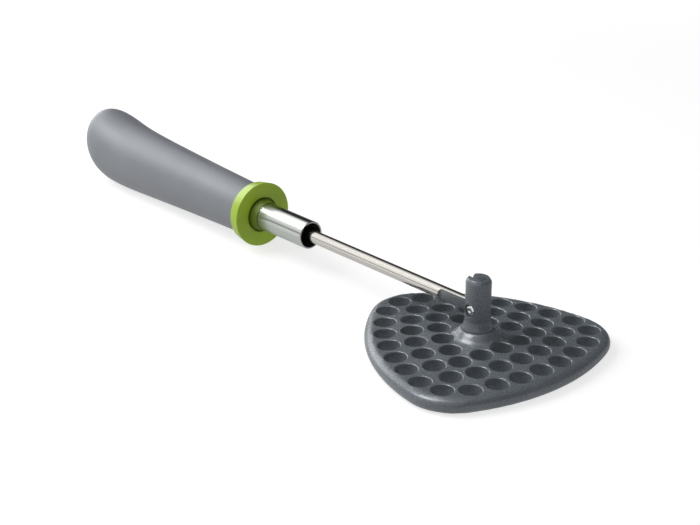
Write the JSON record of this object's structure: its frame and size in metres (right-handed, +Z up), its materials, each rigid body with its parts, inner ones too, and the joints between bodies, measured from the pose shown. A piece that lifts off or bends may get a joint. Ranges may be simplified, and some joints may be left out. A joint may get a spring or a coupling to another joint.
{
  "type": "potato masher",
  "caption": "Folding potato masher: three-cornered perforated nylon plate on a slotted post, steel rod hinged to lie flat, sliding locking sleeve with lime collar, tapered grey handle.",
  "frame": {"origin": "centre of the mashing plate's flat underside, on the axis of the pivot post", "axes": "+Z up out of the plate along the post, -X towards the folded handle, +Y along the hinge pin; the object is a mirror image of itself across the XZ plane"},
  "size_m": [0.2975, 0.0944, 0.0322],
  "materials": {
    "glass_filled_nylon": "dark slate grey moulded nylon with a fine grain",
    "polished_steel": "polished stainless steel",
    "plain_steel": "satin stainless steel",
    "lime_plastic": "semi-gloss lime green plastic",
    "soft_touch_grey": "satin mid grey soft-touch elastomer",
    "dark_plastic": "dark moulded plastic",
    "black_rubber": "black rubber"
  },
  "bodies": {
    "head": {"mashing_plate": "glass_filled_nylon", "pivot_post": "glass_filled_nylon", "hinge_pin": "polished_steel"},
    "shaft": {"shaft_rod": "polished_steel", "handle_core": "dark_plastic", "handle_grip": "soft_touch_grey", "rod_anchor_pin": "plain_steel"},
    "sleeve": {"sleeve_tube": "plain_steel", "neck_bush": "lime_plastic", "grip_collar": "lime_plastic", "guide_plug": "dark_plastic", "friction_ring": "black_rubber"}
  },
  "joints": [
    {"name": "fold", "type": "hinge", "parent": "head", "child": "shaft", "pos_m": [0, 0, 0.0193], "axis": [0, 1, 0], "range_deg": [0, 91.5]},
    {"name": "sleeve_slide", "type": "slide", "parent": "shaft", "child": "sleeve", "axis": [0.9997, 0, 0.0262], "range_m": [0, 0.076]}
  ]
}
